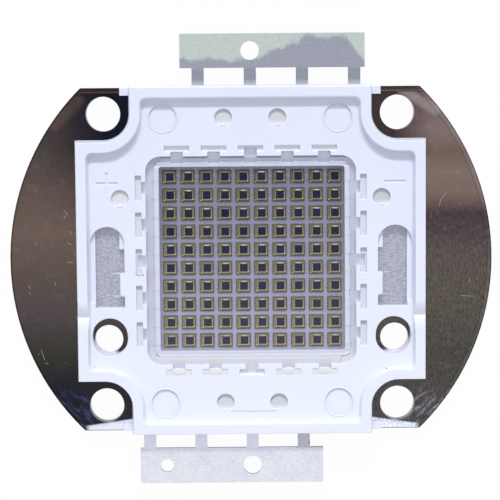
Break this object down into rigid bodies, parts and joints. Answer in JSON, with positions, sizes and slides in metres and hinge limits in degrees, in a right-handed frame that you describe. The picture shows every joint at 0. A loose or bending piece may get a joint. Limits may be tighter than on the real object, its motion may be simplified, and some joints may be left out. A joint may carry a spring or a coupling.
{
  "type": "high-power led array module",
  "caption": "Chip-on-board LED array: a grid of wire-bonded chips in a white moulded frame on a round-ended plated copper base, with a flat solder tab at each end.",
  "frame": {"origin": "middle of the base plate's underside, midway between the two solder tabs", "axes": "+X towards the cathode side slot, along the base's long way; +Y towards the cathode tab; +Z the way the light leaves"},
  "size_m": [0.056, 0.0522, 0.0043],
  "materials": {
    "plated_copper": "nickel plated, brushed",
    "white_moulding": "matt",
    "tinned_lead": "tin plated, dull",
    "clear_silicone": "clear, soft",
    "gilded_carrier": "gold plated, dull",
    "dark_chip": "polished",
    "gold_wire": "bright"
  },
  "bodies": {
    "root": {"base_plate": "plated_copper", "moulded_frame": "white_moulding", "cathode_lead": "tinned_lead", "anode_lead": "tinned_lead", "encapsulant": "clear_silicone", "carrier_row_01": "gilded_carrier", "chip_row_01": "dark_chip", "bond_wire_row_01": "gold_wire", "carrier_row_02": "gilded_carrier", "chip_row_02": "dark_chip", "bond_wire_row_02": "gold_wire", "carrier_row_03": "gilded_carrier", "chip_row_03": "dark_chip", "bond_wire_row_03": "gold_wire", "carrier_row_04": "gilded_carrier", "chip_row_04": "dark_chip", "bond_wire_row_04": "gold_wire", "carrier_row_05": "gilded_carrier", "chip_row_05": "dark_chip", "bond_wire_row_05": "gold_wire", "carrier_row_06": "gilded_carrier", "chip_row_06": "dark_chip", "bond_wire_row_06": "gold_wire", "carrier_row_07": "gilded_carrier", "chip_row_07": "dark_chip", "bond_wire_row_07": "gold_wire", "carrier_row_08": "gilded_carrier", "chip_row_08": "dark_chip", "bond_wire_row_08": "gold_wire", "carrier_row_09": "gilded_carrier", "chip_row_09": "dark_chip", "bond_wire_row_09": "gold_wire", "carrier_row_10": "gilded_carrier", "chip_row_10": "dark_chip", "bond_wire_row_10": "gold_wire"}
  },
  "joints": []
}
